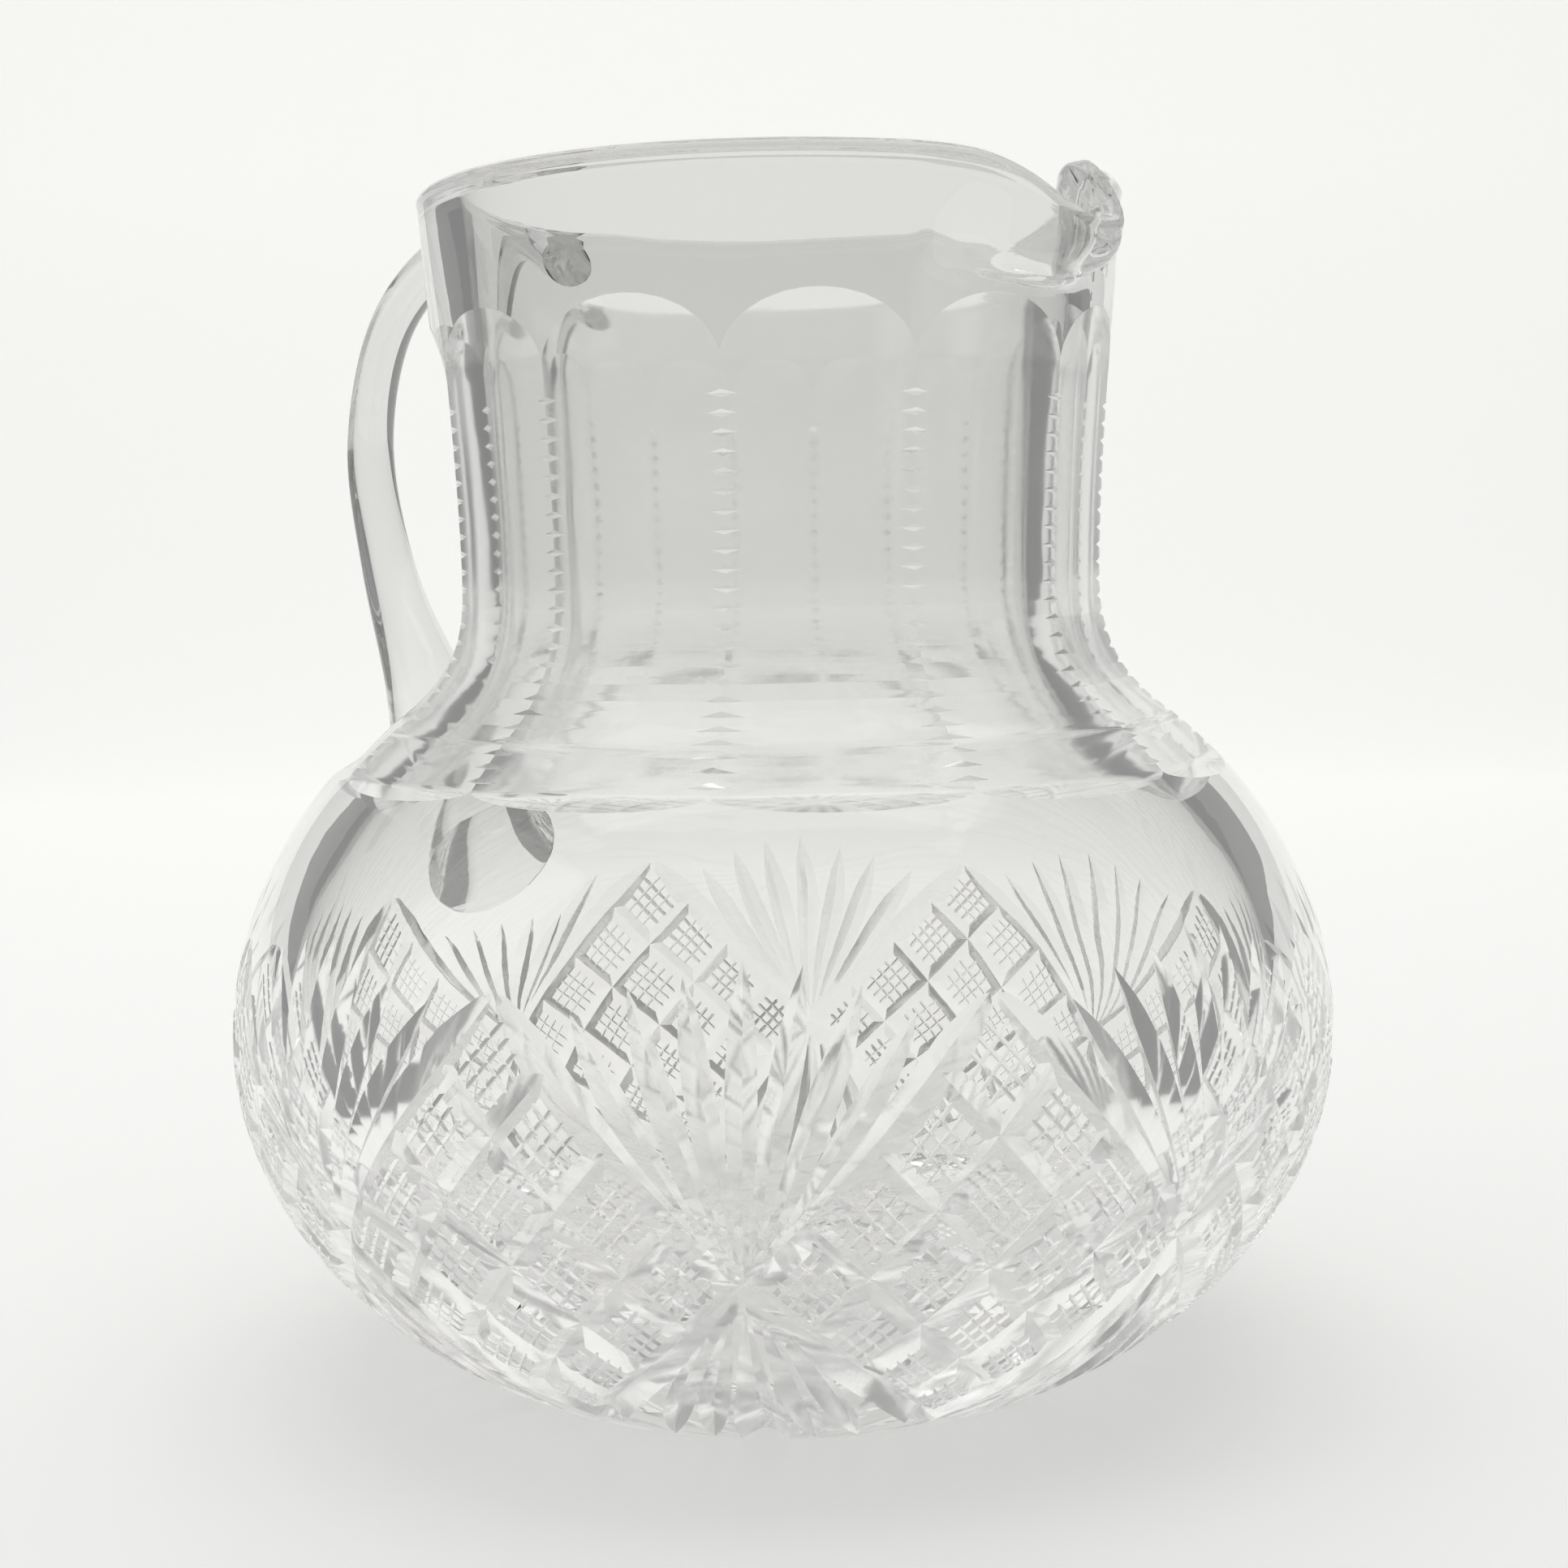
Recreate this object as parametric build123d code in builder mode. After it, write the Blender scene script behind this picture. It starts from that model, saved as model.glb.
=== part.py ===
from build123d import *
from math import asin, cos, degrees, radians, sin, sqrt
import os

# A cut-glass pouring jug: a blown bulb with a fluted neck and a small pinched lip,
# and an applied loop handle that was welded on hot, opposite the lip.
# Frame: millimetres, origin at the centre of the base, +Z up, +X towards the lip.

# ---- overall form of the blown body
height = 160.0  # base to rim
belly_radius = 77.0  # widest part
belly_height = 45.0  # height of the widest part
base_radius = 46.0  # flat that the jug stands on
shoulder_rise = 62.0  # semi-height of the ellipse above the belly
waist_radius = 45.3  # narrowest part of the neck
waist_height = 107.0
shoulder_radius = waist_radius + 10.2  # where the round shoulder turns into the hollow of the neck
rim_radius = waist_radius + 3.2

# ---- ease of the neck's line: how far each control point stands along its own stretch
shoulder_lean = 1.2  # how far the line moves in, for each unit that it rises, as it leaves the shoulder
shoulder_ease = 0.25
waist_ease = 0.47
flare_ease = 0.3
flare_share = 0.65  # of the flare that is reached one ease below the rim

# ---- walls
neck_wall = 6.0
belly_wall = 7.5
base_wall = 9.0
rim_round = 1.5  # polished edges of the rim

# ---- flutes: flat panels cut down the neck
flute_count = 12
flute_turn = 6.4  # degrees from the lip to the first ridge between two panels
flute_top = 142.0  # where a panel runs out under the plain band of the rim
flute_shoulder = 133.5  # where the ridges between panels start
flute_foot = 84.0  # where those ridges end
flute_bottom = 80.5  # lowest point of a panel's scallop on the shoulder

# ---- pouring lip
lip_reach = rim_radius + 11.0  # from the jug's axis to the tip
lip_width = 11.0  # at the tip
lip_root_width = 26.0  # where it grows out of the neck
lip_tip_drop = 7.5  # from the rim down to the centre of the tip
lip_tip_depth = 11.0
lip_root_depth = 20.0  # how far its root reaches down the neck
channel_width = 5.6  # groove that the drink runs along, at the tip
channel_root_width = 14.0
channel_floor = 2.5  # glass left under the groove at the tip

# ---- applied handle: its centre line, then the glass around it
joint_below_rim = 5.5  # from the rim down to the upper joint
crest_reach = rim_radius + 17.5  # from the jug's axis out to the crest of the loop
crest_above_rim = 0.6
loop_reach = rim_radius + 45.8  # outermost part
loop_below_rim = 29.0
bend_reach = loop_reach - 6.9  # where the loop turns down
bend_below_rim = 10.8
knee_reach = loop_reach - 3.7  # where the loop starts to turn in towards the shoulder
knee_below_rim = 50.0
ankle_reach = loop_reach - 13.1
ankle_below_rim = 70.0
foot_height = 57.0  # lower end, inside the body before it is trimmed
foot_sink = 13.0  # how far that end runs into the body
top_width = 12.0
top_thickness = 6.4
grip_width = 8.4
grip_thickness = 6.6
knee_width = 10.5
knee_thickness = 7.6
ankle_width = 16.0
ankle_thickness = 14.2
foot_width = 36.0
foot_thickness = 25.0
joint_sink = 3.0  # how far the upper end runs into the body before it is trimmed to it

half_panel = 180.0 / flute_count
panel_ratio = cos(radians(half_panel))  # a panel's distance from the axis over its ridge's


def ellipse_radius(level, long_radius, rise):
    """Radius, at a level, of the ellipse that rises from the belly."""
    return long_radius * sqrt(1.0 - ((level - belly_height) / rise) ** 2)


def ellipse_level(radius, long_radius, rise):
    """Level at which that ellipse has a radius."""
    return belly_height + rise * sqrt(1.0 - (radius / long_radius) ** 2)


def rise_angle(level, rise):
    """Angle along that ellipse, in degrees, from the belly to a level."""
    return degrees(asin((level - belly_height) / rise))


def hollow_points(radius, level, neck_radius):
    """Control points of the hollow turn from the shoulder up to the upright waist."""
    run = waist_height - level
    return [
        (radius, level),
        (radius - flare_ease * run * shoulder_lean, level + shoulder_ease * run),
        (neck_radius, waist_height - waist_ease * run),
        (neck_radius, waist_height),
    ]


def flare_points(neck_radius, mouth_radius):
    """Control points of the slight flare from the upright waist to the rim."""
    run = height - waist_height
    flare = mouth_radius - neck_radius
    return [
        (neck_radius, waist_height),
        (neck_radius, waist_height + flare_ease * run),
        (neck_radius + flare_share * flare, height - flare_ease * run),
        (mouth_radius, height),
    ]


def curve_radius(points, level):
    """Radius of a rising curve, given by its control points, at a level."""
    curve = Edge.make_bezier(*points)
    low, high = 0.0, 1.0
    for _ in range(40):
        middle = (low + high) / 2
        low, high = (middle, high) if (curve @ middle).Y < level else (low, middle)
    return (curve @ low).X


def scaled(points, ratio):
    """The same control points with their distance from the axis scaled."""
    return [(radius * ratio, level) for radius, level in points]


# ---- shared levels of the outside and of the hollow inside
foot_fall = belly_height / sqrt(1.0 - (base_radius / belly_radius) ** 2)
foot_angle = degrees(asin(belly_height / foot_fall))
shoulder_height = ellipse_level(shoulder_radius, belly_radius, shoulder_rise)
outer_hollow = hollow_points(shoulder_radius, shoulder_height, waist_radius)
outer_flare = flare_points(waist_radius, rim_radius)

inner_belly = belly_radius - belly_wall
inner_rise = shoulder_rise - belly_wall
inner_fall = belly_height - base_wall
inner_shoulder = shoulder_radius - neck_wall
inner_shoulder_height = ellipse_level(inner_shoulder, inner_belly, inner_rise)
inner_hollow = hollow_points(inner_shoulder, inner_shoulder_height, waist_radius - neck_wall)
mouth_radius = rim_radius - neck_wall
inner_flare = flare_points(waist_radius - neck_wall, mouth_radius)

# ---- blank: the blown outside, filled, which the handle is trimmed to
with BuildPart() as blank:
    with BuildSketch(Plane.XZ):
        with BuildLine():
            EllipticalCenterArc(
                (0, belly_height),
                belly_radius,
                foot_fall,
                start_angle=-foot_angle,
                arc_size=foot_angle,
            )
            EllipticalCenterArc(
                (0, belly_height),
                belly_radius,
                shoulder_rise,
                arc_size=rise_angle(shoulder_height, shoulder_rise),
            )
            Bezier(*outer_hollow)
            Bezier(*outer_flare)
            Polyline((rim_radius, height), (0, height), (0, 0), (base_radius, 0))
        make_face()
    revolve(axis=Axis.Z)

# ---- hollow: the room inside, up to the mouth
with BuildPart() as hollow:
    with BuildSketch(Plane.XZ):
        with BuildLine():
            EllipticalCenterArc(
                (0, belly_height), inner_belly, inner_fall, start_angle=-90, arc_size=90
            )
            EllipticalCenterArc(
                (0, belly_height),
                inner_belly,
                inner_rise,
                arc_size=rise_angle(inner_shoulder_height, inner_rise),
            )
            Bezier(*inner_hollow)
            Bezier(*inner_flare)
            Polyline((mouth_radius, height), (0, height), (0, base_wall))
        make_face()
        with BuildLine():
            CenterArc((mouth_radius + rim_round, height - rim_round), rim_round, 90, 90)
            Polyline(
                (mouth_radius, height - rim_round),
                (mouth_radius - rim_round, height - rim_round),
                (mouth_radius - rim_round, height),
                (mouth_radius + rim_round, height),
            )
        make_face()
    revolve(axis=Axis.Z)

# ---- flute: all that lies outside one flat panel, which follows the neck's own line
panel_head = panel_ratio * curve_radius(outer_flare, flute_shoulder)
band_radius = curve_radius(outer_flare, flute_top)
bottom_radius = ellipse_radius(flute_bottom, belly_radius, shoulder_rise)
foot_point = panel_ratio * ellipse_radius(flute_foot, belly_radius, shoulder_rise)
flute_half_width = 1.2 * belly_radius * sin(radians(half_panel))

with BuildPart() as flute:
    with BuildSketch(Plane.XZ):
        with BuildLine():
            EllipticalCenterArc(
                (0, belly_height),
                panel_ratio * belly_radius,
                shoulder_rise,
                arc_size=rise_angle(shoulder_height, shoulder_rise),
            )
            Bezier(*scaled(outer_hollow, panel_ratio))
            Bezier(*scaled(outer_flare, panel_ratio))
            Polyline(
                (panel_ratio * rim_radius, height),
                (belly_radius, height),
                (belly_radius, belly_height),
                (panel_ratio * belly_radius, belly_height),
            )
        make_face()
        with BuildLine():
            Polyline(
                (0, flute_shoulder),
                (panel_head, flute_shoulder),
                (2 * band_radius - panel_head, 2 * flute_top - flute_shoulder),
                (2 * band_radius - panel_head, height),
                (0, height),
                close=True,
            )
        make_face(mode=Mode.SUBTRACT)
        with BuildLine():
            Polyline(
                (0, flute_foot),
                (foot_point, flute_foot),
                (2 * bottom_radius - foot_point, 2 * flute_bottom - flute_foot),
                (belly_radius, flute_bottom),
                (belly_radius, belly_height),
                (0, belly_height),
                close=True,
            )
        make_face(mode=Mode.SUBTRACT)
    extrude(amount=flute_half_width, both=True)

# ---- lip: a beak pinched out of the rim, and the groove that runs along it
lip_root = waist_radius - neck_wall / 2
lip_tip_height = height - lip_tip_drop
channel_tip_floor = lip_tip_height - lip_tip_depth / 2 + channel_floor

with BuildPart() as beak:
    with BuildSketch(Plane.YZ.offset(lip_root)):
        with Locations((0, height - lip_root_depth / 2)):
            Ellipse(lip_root_width / 2, lip_root_depth / 2)
    with BuildSketch(Plane.YZ.offset(lip_reach)):
        with Locations((0, lip_tip_height)):
            Ellipse(lip_width / 2, lip_tip_depth / 2)
    loft()
    fillet(beak.faces().sort_by(Axis.X)[-1].edges(), radius=lip_tip_depth / 4)

with BuildPart() as channel:
    with BuildSketch(Plane.YZ.offset(lip_root - neck_wall)):
        with Locations((0, height)):
            Ellipse(channel_root_width / 2, lip_tip_drop)
    with BuildSketch(Plane.YZ.offset(lip_reach + rim_round)):
        with Locations((0, channel_tip_floor + channel_width)):
            Ellipse(channel_width / 2, channel_width)
    loft()

# ---- jug body
with BuildPart() as jug_body:
    add(blank)
    fillet(jug_body.edges().group_by(Axis.Z)[-1], radius=rim_round)
    with PolarLocations(0, flute_count, start_angle=flute_turn + half_panel):
        add(flute, mode=Mode.SUBTRACT)
    add(beak)
    add(hollow, mode=Mode.SUBTRACT)
    add(channel, mode=Mode.SUBTRACT)

jug_body.part.label = "jug_body"

# ---- handle: one length of hot glass, thin at the rim and thick at the shoulder
joint_height = height - joint_below_rim
joint_radius = curve_radius(outer_flare, joint_height) - joint_sink
foot_radius = ellipse_radius(foot_height, belly_radius, shoulder_rise) - foot_sink

with BuildPart() as handle:
    with BuildLine(Plane.XZ) as loop:
        Spline(
            (-joint_radius, joint_height),
            (-crest_reach, height + crest_above_rim),
            (-bend_reach, height - bend_below_rim),
            (-loop_reach, height - loop_below_rim),
            (-knee_reach, height - knee_below_rim),
            (-ankle_reach, height - ankle_below_rim),
            (-foot_radius, foot_height),
        )
    loop_line = loop.line
    sections = [
        (0.0, top_width, top_thickness),
        (0.19, grip_width, grip_thickness),
        (0.47, grip_width, grip_thickness),
        (0.63, knee_width, knee_thickness),
        (0.78, ankle_width, ankle_thickness),
        (1.0, foot_width, foot_thickness),
    ]
    for share, width, thickness in sections:
        with BuildSketch(Plane(origin=loop_line @ share, x_dir=(0, 1, 0), z_dir=loop_line % share)):
            Ellipse(width / 2, thickness / 2)
    loft()
    add(blank, mode=Mode.SUBTRACT)

handle.part.label = "handle"

os.makedirs("parts", exist_ok=True)
export_step(jug_body.part, "parts/jug_body.step")
export_step(handle.part, "parts/handle.step")
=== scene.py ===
import bpy
import numpy as np
from mathutils import Matrix


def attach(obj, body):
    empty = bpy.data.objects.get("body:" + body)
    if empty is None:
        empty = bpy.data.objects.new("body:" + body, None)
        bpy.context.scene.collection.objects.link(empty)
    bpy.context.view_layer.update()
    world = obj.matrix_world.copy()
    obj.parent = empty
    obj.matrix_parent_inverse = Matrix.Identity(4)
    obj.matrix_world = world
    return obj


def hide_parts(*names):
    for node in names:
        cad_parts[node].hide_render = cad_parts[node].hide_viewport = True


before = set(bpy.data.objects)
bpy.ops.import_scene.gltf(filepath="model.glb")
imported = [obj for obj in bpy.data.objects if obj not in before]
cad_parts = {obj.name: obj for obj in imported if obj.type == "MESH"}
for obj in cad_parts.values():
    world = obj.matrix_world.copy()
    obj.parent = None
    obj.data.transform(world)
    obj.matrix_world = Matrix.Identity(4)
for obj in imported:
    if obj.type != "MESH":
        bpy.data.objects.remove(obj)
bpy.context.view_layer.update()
print("frame loaded")

# Cut-glass jug with a fluted neck, a pinched lip on +X and an applied loop handle on -X.
# Lengths in the dictionaries are millimetres and angles are degrees;
# a turn is an angle about the jug's axis from the lip, a run is a length up the outside.
metresPerMm = 0.001
glassLayers = {"outside": 0, "cuts": 1, "inside": 2}  # material slots on the body


# ---- small tools

def unit(vectors):
    # each vector over its own length
    return vectors / np.linalg.norm(vectors, axis=-1, keepdims=True)


def bezierLine(points, count):
    # cubic curve: the four control points weighted by (1-t)^3, 3t(1-t)^2, 3t^2(1-t) and t^3
    t = np.linspace(0.0, 1.0, count)[:, None]
    a, b, c, d = (np.array(point, float) for point in points)
    return a * (1 - t) ** 3 + 3 * b * t * (1 - t) ** 2 + 3 * c * t * t * (1 - t) + d * t ** 3


def runAlong(line):
    # length from the line's start to each of its points
    return np.r_[0.0, np.cumsum(np.linalg.norm(np.diff(line, axis=0), axis=1))]


def evenly(line, spacing):
    # the same line with points at about the given spacing
    run = runAlong(line)
    stops = np.linspace(0.0, run[-1], max(2, int(round(run[-1] / spacing)) + 1))
    return np.stack([np.interp(stops, run, line[:, axis]) for axis in range(line.shape[1])], 1)


def smoothThrough(stations, values, x):
    # cubic between stations, with the slope at each station that its neighbours give it
    stations, values = np.array(stations, float), np.array(values, float)
    slopes = np.gradient(values, stations)
    i = np.clip(np.searchsorted(stations, x) - 1, 0, len(stations) - 2)
    width = stations[i + 1] - stations[i]
    t = np.clip((x - stations[i]) / width, 0.0, 1.0)
    return (values[i] * (1 + 2 * t) * (1 - t) ** 2 + values[i + 1] * t * t * (3 - 2 * t)
            + width * (slopes[i] * t * (1 - t) ** 2 + slopes[i + 1] * t * t * (t - 1)))


def meshObject(name, points, faces, layers=None, smooth=True):
    # points in millimetres become a mesh in metres, one layer number for each face
    mesh = bpy.data.meshes.new(name)
    mesh.from_pydata((np.asarray(points).reshape(-1, 3) * metresPerMm).tolist(), [], faces)
    mesh.polygons.foreach_set("use_smooth", np.full(len(faces), smooth))
    if layers is not None:
        for _ in glassLayers:
            mesh.materials.append(None)
        mesh.polygons.foreach_set("material_index", np.asarray(layers, np.int32))
    mesh.update()
    thing = bpy.data.objects.new(name, mesh)
    bpy.context.collection.objects.link(thing)
    return thing


def tubeFaces(rows, columns, offset=0):
    # quads between neighbouring rows of a closed ring of columns
    i, j = np.meshgrid(np.arange(rows - 1), np.arange(columns), indexing="ij")
    k = (j + 1) % columns
    quads = np.stack([i * columns + j, i * columns + k, (i + 1) * columns + k, (i + 1) * columns + j], -1)
    return quads.reshape(-1, 4) + offset


def enclosed(points, faces):
    # six times the room inside a closed mesh, positive when its faces look outwards
    first, second, third = (points[[face[i] for face in faces]] for i in (0, 1, 2))
    total = np.einsum("ij,ij->", first, np.cross(second, third))
    fours = [face for face in faces if len(face) == 4]
    if fours:
        first, second, third = (points[[face[i] for face in fours]] for i in (0, 2, 3))
        total += np.einsum("ij,ij->", first, np.cross(second, third))
    return total


def applied(thing):
    # the mesh as its modifiers leave it becomes its own mesh
    depsgraph = bpy.context.evaluated_depsgraph_get()
    mesh = bpy.data.meshes.new_from_object(thing.evaluated_get(depsgraph), depsgraph=depsgraph)
    thing.modifiers.clear()
    thing.data = mesh


def cutAway(thing, points, faces):
    # takes a closed shape out of the thing and marks the new faces as cuts
    points = np.asarray(points).reshape(-1, 3)
    faces = [list(face) for face in faces]
    if enclosed(points, faces) < 0:
        faces = [face[::-1] for face in faces]
    tool = meshObject("tool", points, faces, np.full(len(faces), glassLayers["cuts"]))
    cut = thing.modifiers.new("cut", "BOOLEAN")
    cut.operation, cut.solver, cut.object = "DIFFERENCE", "MANIFOLD", tool
    applied(thing)
    bpy.data.objects.remove(tool)


# ---- outside of the jug, as a line of radius and level

bodyShape = {
    "height": 160.0, "bellyRadius": 77.0, "bellyHeight": 45.0, "baseRadius": 46.0,
    "shoulderRise": 62.0, "shoulderRadius": 55.5, "shoulderLean": 1.2,
    "waistRadius": 45.3, "waistHeight": 107.0, "rimRadius": 48.5, "rimRound": 1.5, "rimSteps": 6,
    "shoulderEase": (0.3, 0.25), "waistEase": 0.47, "flareEase": 0.3, "flareEnd": (0.65, 0.7),
    "neckWall": 6.0, "bellyWall": 7.5, "baseWall": 9.0, "underFoot": 8.0, "middle": 0.01,
    "outerSpacing": 2.0, "lipSpacing": 0.9, "innerSpacing": 3.0,
    "columnTurn": 3.0, "lipColumnTurn": 0.75,
}


def bodyLine(belly, fall, rise, shoulder, waist, mouth, startRadius):
    # two ellipses that meet at the belly, a hollow turn into the waist, then a slight flare
    shape = bodyShape
    level = shape["bellyHeight"]
    low = -np.arccos(startRadius / belly)
    turn = np.linspace(low, 0.0, 120)
    lower = np.stack([belly * np.cos(turn), level + fall * np.sin(turn)], 1)
    turn = np.linspace(0.0, np.arccos(shoulder / belly), 120)
    upper = np.stack([belly * np.cos(turn), level + rise * np.sin(turn)], 1)
    top = upper[-1, 1]
    run = shape["waistHeight"] - top
    leanIn, leanUp = shape["shoulderEase"]
    narrow = shape["waistHeight"]
    hollow = bezierLine([(shoulder, top),
                         (shoulder - leanIn * run * shape["shoulderLean"], top + leanUp * run),
                         (waist, narrow - shape["waistEase"] * run), (waist, narrow)], 90)
    run, flare = shape["height"] - narrow, mouth - waist
    flareOut, flareUp = shape["flareEnd"]
    neck = bezierLine([(waist, narrow), (waist, narrow + shape["flareEase"] * run),
                       (waist + flareOut * flare, narrow + flareUp * run), (mouth, shape["height"])], 120)
    return np.concatenate([lower, upper[1:], hollow[1:], neck[1:]])


shape = bodyShape
footFall = shape["bellyHeight"] / np.sqrt(1 - (shape["baseRadius"] / shape["bellyRadius"]) ** 2)
outerLine = bodyLine(shape["bellyRadius"], footFall, shape["shoulderRise"], shape["shoulderRadius"],
                     shape["waistRadius"], shape["rimRadius"], shape["baseRadius"])
innerLine = bodyLine(shape["bellyRadius"] - shape["bellyWall"], shape["bellyHeight"] - shape["baseWall"],
                     shape["shoulderRise"] - shape["bellyWall"], shape["shoulderRadius"] - shape["neckWall"],
                     shape["waistRadius"] - shape["neckWall"], shape["rimRadius"] - shape["neckWall"],
                     shape["middle"])
innerLine[0] = (0.0, shape["baseWall"])
footSlope = unit(outerLine[0] - outerLine[1])
# the cuts' guide goes on under the foot
guideLine = np.concatenate([[outerLine[0] + shape["underFoot"] * footSlope], outerLine])
guideRun = runAlong(guideLine) - shape["underFoot"]
guideSlope = unit(np.gradient(guideLine, guideRun, axis=0))


def runAt(level):
    # length up the outside at which a level is reached
    return np.interp(level, guideLine[:, 1], guideRun)


def radiusAt(level):
    return np.interp(level, guideLine[:, 1], guideLine[:, 0])


def onBlank(turn, run):
    # point of the outside at a turn and a run, and the direction that faces away from the glass
    radius, level = (np.interp(run, guideRun, guideLine[:, i]) for i in (0, 1))
    out, up = (np.interp(run, guideRun, guideSlope[:, i]) for i in (0, 1))
    angle = np.radians(turn)
    point = np.stack([radius * np.cos(angle), radius * np.sin(angle), level + 0 * angle], -1)
    facing = np.stack([up * np.cos(angle), up * np.sin(angle), -out + 0 * angle], -1)
    return point, unit(facing)


# ---- lip: the rim drawn out to a thick bead, with a narrow pinched trough behind it

lipShape = {
    "spread": 20.0,  # degrees from the lip's middle for one unit of turn in the tables
    "rootLevel": 142.8,
    # turn, then where the drawn rim stands there: reach from the axis, to the side, level of its top
    "outer": ((-0.95, 48.3, -13.0, 159.4), (-0.78, 49.5, -8.0, 158.0), (-0.62, 51.6, -4.8, 155.7),
              (-0.5, 54.0, -4.0, 153.4), (-0.38, 56.0, -3.1, 151.8), (-0.2, 57.8, -1.7, 150.6),
              (0.0, 58.8, 0.2, 150.6), (0.2, 58.4, 2.2, 151.6), (0.38, 56.6, 3.8, 154.0),
              (0.5, 54.3, 4.1, 157.4), (0.62, 51.6, 4.1, 159.7), (0.78, 49.3, 7.5, 158.6),
              (0.95, 48.3, 13.0, 159.4)),
    "inner": ((-0.95, 42.8, -9.8, 159.2), (-0.78, 46.2, -4.9, 157.8), (-0.62, 49.3, -2.5, 155.9),
              (-0.5, 52.0, -1.7, 153.8), (-0.38, 54.0, -1.2, 152.4), (-0.2, 55.3, -0.5, 151.5),
              (0.0, 55.8, 0.2, 151.5), (0.2, 55.4, 0.9, 152.2), (0.38, 54.0, 1.5, 154.2),
              (0.5, 52.2, 1.7, 157.0), (0.62, 49.4, 2.3, 159.0), (0.78, 46.2, 4.6, 158.2),
              (0.95, 42.8, 9.8, 159.2)),
    "edge": 1.15,  # turn at which the rim is plain again
    "soften": (-0.09, -0.06, -0.03, 0.0, 0.03, 0.06, 0.09),  # turns averaged, so the rim has no corners
    "climb": (0.0, 0.15, 0.4, 0.65, 0.85, 1.0),
    "pull": (0.0, 0.02, 0.27, 0.72, 0.97, 1.0),
    "drop": (0.0, 0.05, 0.5, 0.88, 1.0, 1.0),
}


def lipShift(turn, side, radius):
    # how far the rim moves at each turn: the drawn rim's place less the plain rim's place
    lip = lipShape
    plain = np.radians(lip["edge"] * lip["spread"])
    ends = np.array([[way * lip["edge"], radius * np.cos(plain), way * radius * np.sin(plain),
                      bodyShape["height"]] for way in (-1, 1)])
    table = np.concatenate([ends[:1], lip[side], ends[1:]])
    u = np.clip(turn / lip["spread"], -lip["edge"], lip["edge"])
    angle = np.radians(u * lip["spread"])
    drawn = np.stack([sum(smoothThrough(table[:, 0], table[:, column], u + near) for near in lip["soften"])
                      / len(lip["soften"]) for column in (1, 2, 3)], -1)
    rim = np.stack([radius * np.cos(angle), radius * np.sin(angle), bodyShape["height"] + 0 * u], -1)
    return (drawn - rim) * (np.abs(turn) < lip["edge"] * lip["spread"])[..., None]


# ---- blank: the blown body before cutting

lipTurn = lipShape["edge"] * lipShape["spread"]
plainTurn = 360.0 - 2 * lipTurn
turns = np.r_[np.arange(-lipTurn, lipTurn, shape["lipColumnTurn"]),
              np.linspace(lipTurn, 360.0 - lipTurn, int(plainTurn / shape["columnTurn"]), endpoint=False)]


def ringLine():
    # once round the glass from the middle of the base: base, outside, rim, inside, middle of the floor
    shape = bodyShape
    rimEdge, rootRun = shape["height"] - shape["rimRound"], lipShape["rootLevel"]
    plain = evenly(outerLine[outerLine[:, 1] < rootRun], shape["outerSpacing"])
    band = evenly(outerLine[(outerLine[:, 1] >= rootRun) & (outerLine[:, 1] < rimEdge)], shape["lipSpacing"])
    bend = np.radians(np.linspace(0.0, 90.0, shape["rimSteps"]))
    outer, inner = shape["rimRadius"], shape["rimRadius"] - shape["neckWall"]
    rise = rimEdge + shape["rimRound"] * np.sin(bend)
    outerBend = np.stack([outer - shape["rimRound"] * (1 - np.cos(bend)), rise], 1)
    innerBend = np.stack([inner + shape["rimRound"] * (1 - np.cos(bend)), rise], 1)[::-1]
    crown = np.linspace(outerBend[-1, 0], innerBend[0, 0], 5)[1:-1]
    crown = np.stack([crown, np.full(len(crown), shape["height"])], 1)
    inside = innerLine[::-1]
    innerBand = evenly(inside[(inside[:, 1] < rimEdge) & (inside[:, 1] >= rootRun)], shape["lipSpacing"])
    bowl = evenly(inside[inside[:, 1] < rootRun], shape["innerSpacing"])
    base = np.linspace(0.0, shape["baseRadius"], 12)[1:-1]
    base = np.stack([base, np.zeros(len(base))], 1)
    parts = [base, plain, band, outerBend, crown, innerBend, innerBand, bowl[:-1]]
    # share across the rim: 0 on the outside, 1 on the inside
    across = [np.zeros(len(base) + len(plain) + len(band)), np.linspace(0.0, 0.25, shape["rimSteps"]),
              [0.4, 0.5, 0.6], np.linspace(0.75, 1.0, shape["rimSteps"]),
              np.ones(len(innerBand) + len(bowl) - 1)]
    return np.concatenate(parts), np.concatenate(across)


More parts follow.
